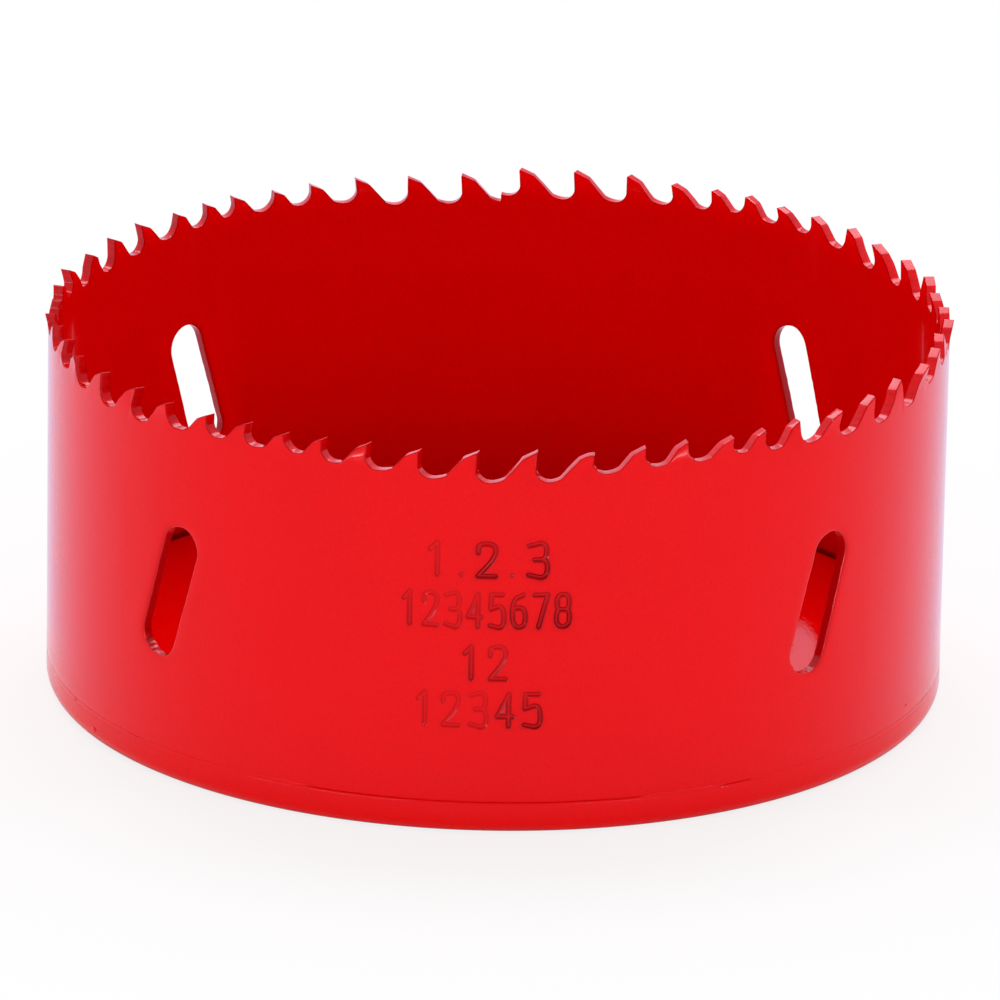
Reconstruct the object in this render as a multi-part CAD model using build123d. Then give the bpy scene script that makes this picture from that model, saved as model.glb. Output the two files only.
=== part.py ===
import os
from math import cos, degrees, isclose, pi, radians, sin, tan

from build123d import *

# Hole saw for 102 mm (4 in) holes: a strip of toothed band rolled into a ring and butt-welded, seated on
# a stepped steel disc. Millimetres. +Z is the saw's axis, towards the teeth, and the origin is the centre
# of the disc's bottom face. A place on the ring is its distance along the outside of the band from the
# front (-Y), towards +X, so the strip's two ends meet at the back.

# Band
ring_radius = 50.5
band_thickness = 1.25
shoulder_height = 3.8  # where the band stands on the disc
root_height = 38.0  # top of the plain band, below every gullet
tip_height = 44.0  # tooth tips at the start of the strip
end_rise = 0.9  # how far the strip has climbed at its other end
half_turn = pi * ring_radius
inner_radius = ring_radius - band_thickness

# Teeth, in a pattern that repeats along the strip: pitch to the next tip, depth of the gullet after the
# tooth, and the way that the tooth is set
straight, inward, outward = 0, -1, 1
tooth_pattern = [
    (5.10, 2.25, straight),
    (5.25, 2.25, inward),
    (4.40, 2.05, outward),
    (5.10, 2.45, straight),
    (5.90, 2.70, inward),
    (6.35, 3.15, outward),
    (6.50, 3.40, straight),
    (6.20, 3.30, inward),
    (5.85, 2.60, outward),
]
pattern_start = -34.2  # place of the tip of a pattern's first tooth
hook_angle = radians(4)
back_angle = radians(48)
land_angle = radians(26)
land_share = 0.27  # length of the land behind a tip, as a share of the pitch
gullet_radius = 1.45  # first arc of the gullet, under the rake face
rake_skew = 0.25  # how far the inner corner of a tip lies ahead of the outer one
tooth_set = 0.47  # how far a set tip leans out of the wall
set_height = 1.95  # the bend lies this far below the tip

# Chip slots
slot_places = [-39.6, 39.6, half_turn - 39.6, half_turn + 39.6]
slot_width = 5.0
slot_length = 16.2
slot_lean = 17.5  # degrees from upright, the top towards +X
slot_centre_height = 22.3

# Backing disc
disc_thickness = 4.9
edge_rounding = 1.85
thread_radius = 7.34  # tapping size of 5/8 in, 18 turns to the inch
thread_chamfer = 0.7
pin_hole_radius = 3.5
pin_circle_radius = 13.5
pin_hole_count = 4

# Upright plane through the axis and the front of the ring, its x outwards and its y up
wall_section_plane = Plane(origin=(0, 0, 0), x_dir=(0, -1, 0), z_dir=(-1, 0, 0))

# Overruns of the cutters past the metal that they cut
blank_margin = 0.3
cutter_overrun = 0.8
cutter_reach = 1.0


def rise(place):
    """The strip runs level to the front and then climbs with the square of the distance."""
    return end_rise * (max(place, 0) / half_turn) ** 2


def turned(shape, place):
    """A shape made at the front, turned about the axis to its place on the ring."""
    return Rotation(0, 0, degrees(place / ring_radius)) * shape


def gullet_bottom(depth):
    """Distance of the gullet's lowest line from the tip before it."""
    return (gullet_radius + (gullet_radius - depth) * sin(hook_angle)) / cos(hook_angle)


def teeth_along_strip():
    """Every tooth from the weld round to the weld: place of its tip, pitch, depth and set."""
    period = sum(pitch for pitch, _, _ in tooth_pattern)
    turns_back = int((pattern_start + half_turn) / period) + 1
    place = pattern_start - turns_back * period
    teeth = []
    while place < half_turn + period:
        for pitch, depth, lean in tooth_pattern:
            teeth.append((place, pitch, depth, lean))
            place += pitch
    return teeth


def gullet_wire(pitch, depth, step, radius):
    """Outline of one gullet cutter on a plane at the given radius, about the gullet's lowest line: down
    the rake face, round two arcs, up the back of the next tooth, along its land and past its tip."""
    skew = rake_skew * (ring_radius - radius) / band_thickness
    centre_line = gullet_bottom(depth)
    bottom = centre_line + skew
    rake_end = pi - hook_angle
    lowest = 1.5 * pi

    land_start_x = pitch * (1 - land_share * cos(land_angle))
    land_start_z = step - pitch * land_share * sin(land_angle)
    back_sin, back_cos = sin(back_angle), cos(back_angle)
    back_radius = ((bottom - land_start_x) * back_sin + (depth + land_start_z) * back_cos) / (back_cos - 1)
    next_x = pitch + skew
    land_slope = (step - land_start_z) / (next_x - land_start_x)

    def at(x, z):
        return Vector((x - centre_line) * radius / ring_radius, -radius, z)

    def on_arc(arc_radius, angle):
        return at(bottom + arc_radius * cos(angle), arc_radius * (1 + sin(angle)) - depth)

    rake_foot = on_arc(gullet_radius, rake_end)
    back_foot = on_arc(back_radius, lowest + back_angle)
    land_start = at(land_start_x, land_start_z)
    past_tip = at(next_x + cutter_overrun / land_slope, step + cutter_overrun)
    above_tip = at(skew + cutter_overrun * tan(hook_angle), cutter_overrun)
    return Wire(
        [
            Line(above_tip, rake_foot),
            ThreePointArc(rake_foot, on_arc(gullet_radius, (rake_end + lowest) / 2), at(bottom, -depth)),
            ThreePointArc(at(bottom, -depth), on_arc(back_radius, lowest + back_angle / 2), back_foot),
            Line(back_foot, land_start),
            Line(land_start, past_tip),
            Line(past_tip, above_tip),
        ]
    )


def gullet_cutter(place, pitch, depth):
    """Everything milled away between the tip at this place and the next one, tapering to the axis."""
    step = rise(place + pitch) - rise(place)
    sections = [
        Face(gullet_wire(pitch, depth, step, radius))
        for radius in (inner_radius - cutter_reach, ring_radius + cutter_reach)
    ]
    cutter = Pos(0, 0, tip_height + rise(place)) * loft(sections, ruled=True)
    return turned(cutter, place + gullet_bottom(depth))


def tooth_blank(tip_place, lean, start, end):
    """The wall from one gullet bottom to the next, bent out or in above the bend line."""
    bend_height = tip_height + rise(tip_place) - set_height
    top = bend_height + set_height + blank_margin
    shift = lean * tooth_set * (top - bend_height) / set_height
    section = Polyline(
        (inner_radius, root_height),
        (ring_radius, root_height),
        (ring_radius, bend_height),
        (ring_radius + shift, top),
        (inner_radius + shift, top),
        (inner_radius, bend_height),
        close=True,
    )
    face = make_face(wall_section_plane * section)
    blank = revolve(face, Axis.Z, revolution_arc=degrees((end - start) / ring_radius))
    return turned(blank, start)


def make_teeth():
    """One solid for each tooth, cut by the gullet before it and the gullet after it."""
    strip = teeth_along_strip()
    teeth = []
    for before, tooth in zip(strip, strip[1:]):
        start = max(before[0] + gullet_bottom(before[2]), -half_turn)
        end = min(tooth[0] + gullet_bottom(tooth[2]), half_turn)
        if start >= end:
            continue
        blank = tooth_blank(tooth[0], tooth[3], start, end)
        teeth.append(blank - gullet_cutter(*before[:3]) - gullet_cutter(*tooth[:3]))
    return teeth


def chip_slot(place):
    """A leaning round-ended slot, a little higher where the strip has climbed."""
    height = slot_centre_height + rise(place if place < half_turn else place - 2 * half_turn)
    front = Plane(origin=(0, -inner_radius + cutter_reach, height), x_dir=(1, 0, 0), z_dir=(0, -1, 0))
    outline = SlotOverall(slot_length, slot_width, rotation=90 - slot_lean)
    cutter = extrude(front * outline, band_thickness + 2 * cutter_reach)
    return turned(cutter, place)


def make_toothed_band():
    """The plain wall with every tooth fused on, and the four slots cut through."""
    wall = Cylinder(ring_radius, root_height - shoulder_height) - Cylinder(inner_radius, root_height)
    wall = Pos(0, 0, (root_height + shoulder_height) / 2) * wall
    band = wall.fuse(*make_teeth())
    return band.cut(*[chip_slot(place) for place in slot_places]).clean()


def make_backing_cap():
    """A disc whose edge steps in where the band stands on it, tapped through its middle."""
    on_base = (Align.CENTER, Align.CENTER, Align.MIN)
    rim = Cylinder(ring_radius, shoulder_height, align=on_base)
    rim = fillet(rim.edges().sort_by(Axis.Z)[0], edge_rounding)
    disc = rim + Cylinder(inner_radius, disc_thickness, align=on_base)
    disc -= Cylinder(thread_radius, disc_thickness, align=on_base)
    circles = disc.edges().filter_by(GeomType.CIRCLE)
    thread_mouths = [edge for edge in circles if isclose(edge.radius, thread_radius)]
    disc = chamfer(thread_mouths, thread_chamfer)
    pin_holes = PolarLocations(pin_circle_radius, pin_hole_count)
    return disc - pin_holes * Cylinder(pin_hole_radius, disc_thickness, align=on_base)


os.makedirs("parts", exist_ok=True)
export_step(make_toothed_band(), "parts/toothed_band.step")
export_step(make_backing_cap(), "parts/backing_cap.step")
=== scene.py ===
import bpy
import numpy as np
from mathutils import Matrix, Vector


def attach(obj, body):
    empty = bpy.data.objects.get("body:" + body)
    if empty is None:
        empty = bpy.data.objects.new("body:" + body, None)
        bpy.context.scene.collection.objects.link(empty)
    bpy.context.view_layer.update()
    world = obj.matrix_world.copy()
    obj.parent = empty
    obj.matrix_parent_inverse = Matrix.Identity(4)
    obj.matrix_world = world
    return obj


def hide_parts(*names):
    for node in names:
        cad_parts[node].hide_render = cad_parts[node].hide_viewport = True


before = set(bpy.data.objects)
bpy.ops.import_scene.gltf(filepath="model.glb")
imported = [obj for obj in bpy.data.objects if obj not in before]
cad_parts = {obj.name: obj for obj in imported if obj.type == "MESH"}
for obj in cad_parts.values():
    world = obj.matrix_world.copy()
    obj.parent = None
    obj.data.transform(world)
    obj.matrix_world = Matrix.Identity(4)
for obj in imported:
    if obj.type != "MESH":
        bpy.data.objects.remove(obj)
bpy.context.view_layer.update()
print("frame loaded")

mm = 0.001

# The rolled band. A place on it is its distance s along the outside, from the front towards +X, and its
# height z. d is how far a point stands out from the middle of the wall. Millimetres and radians.
band = {
    "radius": 50.5,
    "wall": 1.25,
    "lumpRoom": 0.03,      # left on each face of the wall for the enamel's lumps
    "foot": 3.8,
    "tipHeight": 44.0,
    "endRise": 0.9,
    # pitch to the next tip, depth of the gullet after the tooth, and which way the tooth is set
    "pattern": [
        (5.10, 2.25, 0), (5.25, 2.25, -1), (4.40, 2.05, 1),
        (5.10, 2.45, 0), (5.90, 2.70, -1), (6.35, 3.15, 1),
        (6.50, 3.40, 0), (6.20, 3.30, -1), (5.85, 2.60, 1),
    ],
    "patternStart": -34.2,
    "hook": np.radians(4),
    "back": np.radians(48),
    "landAngle": np.radians(26),
    "landShare": 0.27,
    "gulletRadius": 1.45,
    "rakeSweep": np.radians(78),   # the gullet's two arcs turn this far from its bottom, and meet the
    "backSweep": np.radians(26),   # rake face and the back at a slight edge
    "rakeSkew": 0.25,
    "set": 0.47,
    "setHeight": 1.95,
    "bendSoft": 0.25,      # height over which the bend sets in
    "bluntTip": (10.6, 1.5, 0.30), # place and half width of the one blunt tooth, and how much shorter it is
    "edgeRound": 0.1,      # how far the enamel rounds the edges over
    "tightest": 0.62,      # share of a tight bend's own radius that the rounding may take up
    "easing": (3, 0.004),  # how often the rounding is evened out, and its largest change per column
    "tipRound": 0.07,
    "footRound": 0.25,
    # how dark the painted shade is over each step of a rounded edge, over the rake faces and how fast that
    # fades below them, in the corner on the disc, and inside at the foot, with the height over which it fades
    # out
    "edgeShade": (0.0, 0.5, 0.9, 0.2, 0.0),
    "rakeShade": (0.38, 1.6),
    "cornerShade": 0.75,
    "innerShade": (0.22, 30.0),
    # the mesh: points in each part of the tooth line, columns under the teeth, the line where these end, and
    # the plain wall's grid below it
    "partSteps": 24,
    "toothColumns": 1960,
    "fineLine": 38.0,
    "wallTop": 37.2,
    "wallFoot": 5.2,
    "wallColumns": 360,
    "wallRows": 14,
    "tiltBack": 1.0,       # lean of the columns under a tip, so that they clear the rake face
    "weldReach": 3.0,      # the columns close up over this length towards the weld
    "weldRoom": 0.7,       # to leave this much for the drop between the strip's two ends
    "weldSteps": 12,
    "lineSpacing": 0.05,   # of the points that the tooth line is softened on
    "softReach": 40,       # and how many of them on each side count
    "straightStep": 0.9,   # longest step between columns on a straight
    "turnStep": 0.5,       # and largest turn between them
    "down": (0.0, 0.07, 0.2, 0.42, 0.7, 1.0),    # rows of a column, as shares of its length
}
halfTurn = np.pi * band["radius"]
midRadius = band["radius"] - band["wall"] / 2
halfWall = band["wall"] / 2 - band["lumpRoom"]

# The backing disc: heights and radii in millimetres
disc = {
    "inset": 0.02,         # how far the disc stays inside the band's radius
    "bottomRound": 1.85,
    "shoulder": 3.8,
    "thickness": 4.9,
    "spigot": 49.2,
    "edgeRound": 0.25,
    "spigotRound": 0.85,
    "pinHole": 3.5,
    "pinCircle": 13.5,
    "pinCount": 4,
    "pinRound": 0.15,
    "threadMinor": 7.34,
    "threadMajor": 7.93,
    "threadPitch": 25.4 / 18,
    "threadMouth": 8.04,
    "threadShape": (1.35, -0.15),  # stretches the ridges so that their tips and roots are a little flat
    # painted shade round the foot, from the bottom face up, and in the corner between the spigot and the band,
    # where it is patchy: its middle, how much it varies, the waves and the least
    "footShade": (0.9, 0.8, 0.6, 0.35, 0.1),
    "seatShade": (1.0, 1.0, 1.0, 0.9, 0.45),
    "seatPatches": (0.8, 0.45, (5, 11, 19, 31), 0.2),
    # the mesh: steps of the round foot, heights up the side, middle of the seat, columns and rings of the
    # faces, columns of a pin hole, rings round it and its window, half as wide in columns and in those rows
    "footSteps": 12,
    "sideRows": (2.4, 3.0),
    "seatMiddle": 49.9,
    "columns": 240,
    "rings": [8.1, 8.5, 9.2, 11.0, 13.5, 16.0, 18.0, 21.0, 25.0, 30.0, 36.0, 42.0, 46.0, 48.0],
    "pinColumns": 64,
    "pinRings": (0.7, 0.3),
    "pinWindow": (14, (2, 6)),
    "threadRows": 44,
}

# Leaning slots through the band
slots = {
    "places": [-39.6, 39.6, halfTurn - 39.6, 39.6 - halfTurn],
    "width": 5.0,
    "length": 16.2,
    "lean": np.radians(17.5),
    "height": 22.3,
    "edgeRound": 0.13,
    # how far the punch drew the edge in, how soon that fades, and how much and in what waves it changes
    "rollOver": (0.07, 0.4, 0.35, (2, 5, 9)),
    # how uneven the enamel leaves the edge, its waves round the slot, and how far out from the edge that goes
    "lumps": (0.03, (3, 7, 13, 19), 0.2),
    # how thick it hangs at the lower end, its waves and their drift across the wall, how far to the side its
    # middle lies and how wide it spreads, and from what size the painted shade lifts off it, so that its full
    # gloss shows
    "clots": (0.17, (17, 29, 43, 61), 5.0, 0.15, 0.45, 0.6),
    # painted shade over the edge, on the cut wall, and more on the side away from the front; then round the
    # slot on all sides, more on that side, and the distance over which it fades
    "edgeShade": (0.1, 0.04, 0.1, 0.3, 0.55),
    "wallShade": 0.62,
    "sideShade": 0.3,
    "halo": (0.04, 0.4, 0.18),
    # the mesh: points up a side, round the top and round the lower end, rings out from the rounded edge,
    # rows across the cut wall, and the window in the wall's grid, in columns each side and rows
    "steps": (20, 26, 48),
    "rings": [0.12, 0.3, 0.55, 0.9, 1.4],
    "between": 5,
    "windowHalf": 9,
    "windowRows": (3, 13),
}

# The stamped marks on the front: plain digits, punched by hand with uneven force
stamp = {
    # height of the row's middle, what is punched, place of the first digit, pitch, width of a digit as a
    # share of the usual, and the force of each blow
    "rows": [
        (31.8, "1.2.3", -7.3, 2.75, 0.85, (0.5, 0.4, 1.0, 0.45, 1.0)),
        (26.0, "12345678", -10.0, 2.4, 0.64, (0.65, 0.5, 0.5, 0.65, 0.75, 0.9, 1.0, 1.0)),
        (20.0, "12", -3.3, 3.0, 0.75, (0.8, 0.7)),
        (14.55, "12345", -8.3, 2.95, 0.75, (0.5, 0.45, 0.45, 0.85, 0.95)),
    ],
    "height": 3.7,
    "depth": 0.24,
    "tilt": ((-1.9, 1.9), (1.1, 0.75)),    # share of the blow at a digit's foot and at its top
    "strokeHalf": 0.21,
    "edge": 0.03,                  # over which a stroke's side falls
    "lip": (0.12, 0.11, 0.08),     # height as a share of the depth, distance out from the edge, and width
    "strokeShade": (0.95, 0.22, 0.16),   # painted shade down a stroke's sides, on its floor and round it
    "strokeShadeWidth": (0.08, 0.65),    # widths of the first and the last
    "far": 9.0,                    # nothing is felt of a stroke beyond this
    # the mesh: window in the wall's grid, in columns and rows, margin inside it, spacing where there are
    # digits and how far that reaches past a row, and the gap between two lines that is filled, at what step
    "window": (-12, 12),
    "windowRows": (3, 13),
    "margin": 0.35,
    "step": 0.115,
    "past": 0.4,
    "fill": (0.5, 0.4),
}


# The strip runs level to the front, then climbs with the square of the distance.
def rise(s):
    return band["endRise"] * (np.maximum(s, 0) / halfTurn) ** 2


# Rolls the flat strip up: s becomes the angle s / radius, and d adds to the radius of the wall's middle.
def onBand(s, z, d):
    angle, z, r = np.broadcast_arrays(s / band["radius"], z, midRadius + d)
    return np.stack([r * np.sin(angle), -r * np.cos(angle), z], -1) * mm


# Four-sided faces between neighbouring rows and columns of an array of point numbers.
def gridFaces(ids):
    here, there = ids[:, :-1], ids[:, 1:]
    return np.stack([here[:-1], there[:-1], there[1:], here[1:]], -1).reshape(-1, 4)


# The same array with its first column once more at the end, where it closes on itself.
def closed(ids):
    return np.concatenate([ids, ids[:, :1]], 1)


# Triangles between two rows with different counts. Each fine edge joins the coarse point nearest to its
# middle, and each coarse edge joins the fine point where that changes.
def zipFaces(fineAt, fineIds, coarseAt, coarseIds):
    middle = (fineAt[:-1] + fineAt[1:]) / 2
    cuts = (coarseAt[:-1] + coarseAt[1:]) / 2
    near = np.searchsorted(cuts, middle)
    first = np.stack([fineIds[:-1], fineIds[1:], coarseIds[near]], -1)
    change = np.searchsorted(near, np.arange(1, len(coarseIds)))
    second = np.stack([fineIds[change], coarseIds[1:], coarseIds[:-1]], -1)
    return np.concatenate([first, second])


# The tooth line of the whole strip, gap by gap: from a tip down the rake face, round two arcs, up the
# back of the next tooth and along its land. The rows are each point's place s, height z, share of the rake
# face's skew, set and tip height of its own tooth, the place where its column meets the fine line, and its
# share of the rake face itself.
def rawToothLine():
    pitch, depth, lean = (np.array(column, float) for column in zip(*band["pattern"]))
    period = pitch.sum()
    turnsBack = int(np.ceil((halfTurn + band["patternStart"]) / period))
    patterns = turnsBack + int(np.ceil((halfTurn - band["patternStart"]) / period)) + 1
    pitch, depth, lean = (np.tile(column, patterns)[:, None] for column in (pitch, depth, lean))
    tip = band["patternStart"] - turnsBack * period + np.cumsum(pitch)[:, None] - pitch
    top = band["tipHeight"] + rise(tip)
    nextTop = band["tipHeight"] + rise(tip + pitch)
    step = nextTop - top

    hook, back, radius = band["hook"], band["back"], band["gulletRadius"]
    bottom = (radius + (radius - depth) * np.sin(hook)) / np.cos(hook)
    landX = pitch * (1 - band["landShare"] * np.cos(band["landAngle"]))
    landZ = step - pitch * band["landShare"] * np.sin(band["landAngle"])
    backRadius = ((bottom - landX) * np.sin(back) + (depth + landZ) * np.cos(back)) / (np.cos(back) - 1)

    t = np.linspace(0, 1, band["partSteps"], endpoint=False)[None]
    one = np.ones_like(pitch)

    # radius of an arc from the bottom that turns only by sweep before it meets the line of this slope
    def flatter(r, slope, sweep):
        return r * np.tan(slope / 2) * np.tan(slope) / (np.sin(sweep) * np.tan(slope) - 1 + np.cos(sweep))

    def arc(r, start, end):
        angle = start + (end - start) * t
        return bottom + r * np.cos(angle), r * (1 + np.sin(angle)) - depth

    def line(x0, z0, x1, z1):
        return x0 + (x1 - x0) * t, z0 + (z1 - z0) * t

    rakeSweep, backSweep = band["rakeSweep"], band["backSweep"]
    rakeRadius = flatter(radius, np.pi / 2 - hook, rakeSweep)
    backRadius = flatter(backRadius, back, backSweep)
    footX, footZ = bottom - rakeRadius * np.sin(rakeSweep), rakeRadius * (1 - np.cos(rakeSweep)) - depth
    backX, backZ = bottom + backRadius * np.sin(backSweep), backRadius * (1 - np.cos(backSweep)) - depth
    parts = [
        line(0 * one, 0 * one, footX, footZ),
        arc(rakeRadius, 1.5 * np.pi - rakeSweep, 1.5 * np.pi),
        arc(backRadius, 1.5 * np.pi, 1.5 * np.pi + backSweep),
        line(backX, backZ, landX, landZ),
        line(landX, landZ, pitch, step),
    ]
    x = np.concatenate([part[0] for part in parts], 1)
    z = np.concatenate([part[1] for part in parts], 1)
    full = 0 * t + one
    skew = np.concatenate([full, full, full - t, 0 * full, full * t], 1)
    ahead = np.concatenate([0 * full, 0 * full, full, full, full], 1) > 0.5   # past the gullet's bottom
    # Painted shade down the rake face, fading out round the gullet.
    fading = np.maximum(full - band["rakeShade"][1] * t, 0)
    rake = np.concatenate([full, fading, 0 * full, 0 * full, 0 * full], 1)
    length = np.hypot(np.diff(x, axis=1, append=pitch), np.diff(z, axis=1, append=step))
    run = np.cumsum(length, 1) - length
    toBottom = run[:, 2 * t.size][:, None]
    tilt = band["tiltBack"]
    column = np.where(
        ahead,
        bottom + (pitch - tilt - bottom) * (run - toBottom) / (length.sum(1)[:, None] - toBottom),
        -tilt + (bottom + tilt) * run / toBottom,
    )
    ownTop = np.where(ahead, nextTop, top)
    ownLean = np.where(ahead, np.roll(lean, -1, 0), lean)
    return np.stack([a.ravel() for a in (tip + x, top + z, skew, ownLean, ownTop, tip + column, rake)])


# The same line cut to the strip and closed at the weld by the short drop between its two ends, then
# softened along its length, which rounds the tips, and sampled more closely where it turns.
def toothLine():
    line = rawToothLine()
    s = line[0]
    inside = np.flatnonzero(np.abs(s) < halfTurn)
    first, last = inside[0], inside[-1]
    ends = []
    for outer, inner, place in ((first - 1, first, -halfTurn), (last + 1, last, halfTurn)):
        share = (place - s[inner]) / (s[outer] - s[inner])
        ends.append(line[:, inner] + share * (line[:, outer] - line[:, inner]))
    line = np.column_stack([ends[0], line[:, inside], ends[1]])
    reach, room = band["weldReach"], band["weldRoom"]
    column = line[5]
    head = np.minimum((column - column[0]) / reach, 1)
    column = column + (1 - head) * (-halfTurn - column[0])
    tail = np.minimum((column[-1] - column) / reach, 1)
    line[5] = column + (1 - tail) * (halfTurn - room - column[-1])

    drop = np.linspace(0, 1, band["weldSteps"])[1:]
    closing = line[:, -1:] + 0 * drop
    closing[0] = halfTurn
    closing[1] = line[1, -1] + (line[1, 0] - line[1, -1]) * drop
    closing[5] = halfTurn - room * (1 - drop)
    line = np.concatenate([line, closing], 1)

    run = np.concatenate([[0], np.cumsum(np.hypot(np.diff(line[0]), np.diff(line[1])))])
    count = int(run[-1] / band["lineSpacing"])
    even = np.linspace(0, run[-1], count, endpoint=False)
    line = np.stack([np.interp(even, run, row) for row in line])
    bluntPlace, wide, shorter = band["bluntTip"]
    blunt = np.abs(line[0] - bluntPlace) < wide
    line[1] = np.where(blunt, np.minimum(line[1], line[4] - shorter), line[1])
    pad = band["softReach"]
    turn = np.array([2 * halfTurn, 0, 0, 0, 0, 2 * halfTurn, 0])[:, None]
    wrapped = np.concatenate([line[:, -pad:] - turn, line, line[:, :pad] + turn], 1)
    reach = np.arange(-pad, pad + 1) * run[-1] / count
    kernel = np.exp(-0.5 * (reach / band["tipRound"]) ** 2)
    kernel /= kernel.sum()
    soft = np.stack([np.convolve(row, kernel, "valid") for row in wrapped])
    soft[3:5] = line[3:5]

    ds = np.roll(soft[0], -1) - soft[0]
    ds[-1] += 2 * halfTurn
    dz = np.roll(soft[1], -1) - soft[1]
    heading = np.unwrap(np.arctan2(dz, ds))
    bend = np.abs(np.roll(heading, -1) - heading)
    bend[-1] = bend[0]
    steps = np.hypot(ds, dz) / band["straightStep"] + bend / band["turnStep"]
    weight = np.cumsum(np.concatenate([[0], steps]))
    picks = np.linspace(0, weight[-1], band["toothColumns"], endpoint=False)
    looped = np.concatenate([soft, soft[:, :1] + turn], 1)
    return [np.interp(picks, weight, row) for row in looped]


# Which of a piece's finishes a face has. The disc has only two, plain and its top's.
plain, milled, inner, cut = range(4)
topSkin = 1


# A new object in the scene, named as its data.
def newObject(data):
    thing = bpy.data.objects.new(data.name, data)
    bpy.context.collection.objects.link(thing)
    return thing


# Gathers blocks of points and faces for one mesh. Each point says how much painted shade it has, from 0 to 1,
# and each block of faces says which finish it has.
class Shell:
    def __init__(self):
        self.points, self.thin, self.blocks, self.finishes = [], [], [], []
        self.count = 0

    def add(self, points, thin=0.0):
        ids = np.arange(self.count, self.count + points[..., 0].size).reshape(points.shape[:-1])
        self.points.append(points.reshape(-1, 3))
        self.thin.append(np.broadcast_to(thin, ids.shape).ravel())
        self.count += ids.size
        return ids

    def faces(self, block, flip=False, finish=plain):
        self.blocks.append(block[:, ::-1] if flip else block)
        self.finishes.append(np.full(len(block), finish))

    def rings(self, ids, flip=False, finish=plain):
        self.faces(gridFaces(closed(ids)), flip, finish)

    def build(self, name):
        corners = np.concatenate([block.ravel() for block in self.blocks])
        used, corners = np.unique(corners, return_inverse=True)
        points = np.concatenate(self.points)[used]
        thin = np.concatenate(self.thin)[used]
        sizes = np.concatenate([np.full(len(block), block.shape[1]) for block in self.blocks])
        mesh = bpy.data.meshes.new(name)
        mesh.vertices.add(len(points))
        mesh.vertices.foreach_set("co", points.ravel().astype(np.float32))
        mesh.loops.add(len(corners))
        mesh.loops.foreach_set("vertex_index", corners.astype(np.int32))
        mesh.polygons.add(len(sizes))
        mesh.polygons.foreach_set("loop_start", (np.cumsum(sizes) - sizes).astype(np.int32))
        mesh.polygons.foreach_set("material_index", np.concatenate(self.finishes).astype(np.int32))
        mesh.update(calc_edges=True)
        mesh.shade_smooth()
        layer = mesh.attributes.new("thin", "FLOAT", "POINT")
        layer.data.foreach_set("value", thin.astype(np.float32))
        print(name, "has", int(sizes.sum() - 2 * len(sizes)), "triangles")
        return newObject(mesh)


# Smooth noise round a closed line: a few sine waves of rising count with seeded phases, about -1 to 1. The
# phases drift by up to the given pull for each step across, which breaks the waves up into lumps.
def ripple(turn, waves, seed, across=0.0, pull=0.0):
    random = np.random.default_rng(seed)
    total = 0 * turn
    for wave in waves:
        phase, height, drift = random.uniform(0, 2 * np.pi), random.uniform(0.5, 1), random.uniform(-pull, pull)
        total = total + np.sin(wave * turn + phase + drift * across) * height
    return total / len(waves) ** 0.5


# A quarter-round from one face to the next in steps: how far the point has gone in from the face, and how
# far it still is from the edge, both as shares of the radius.
quarter = np.linspace(0, np.pi / 2, 5)
inFromFace, offEdge = 1 - np.cos(quarter), 1 - np.sin(quarter)


# The edge of the wall, from the outside over to the inside: distance out from the middle of the wall, distance
# back from the edge, and its painted shade, for a rounding radius per column.
def overEdge(radius, between, steps, middleShade):
    outerD = halfWall - inFromFace[:, None] * radius
    outerE = offEdge[:, None] * radius
    middle = np.linspace(1, -1, between + 2)[1:-1, None] * (halfWall - radius)
    thin = np.array(steps)
    return (
        np.concatenate([outerD, middle, -outerD[::-1]]),
        np.concatenate([outerE, 0 * middle, outerE[::-1]]),
        np.concatenate([thin, np.full(between, middleShade), thin[::-1]])[:, None],
    )


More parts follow.
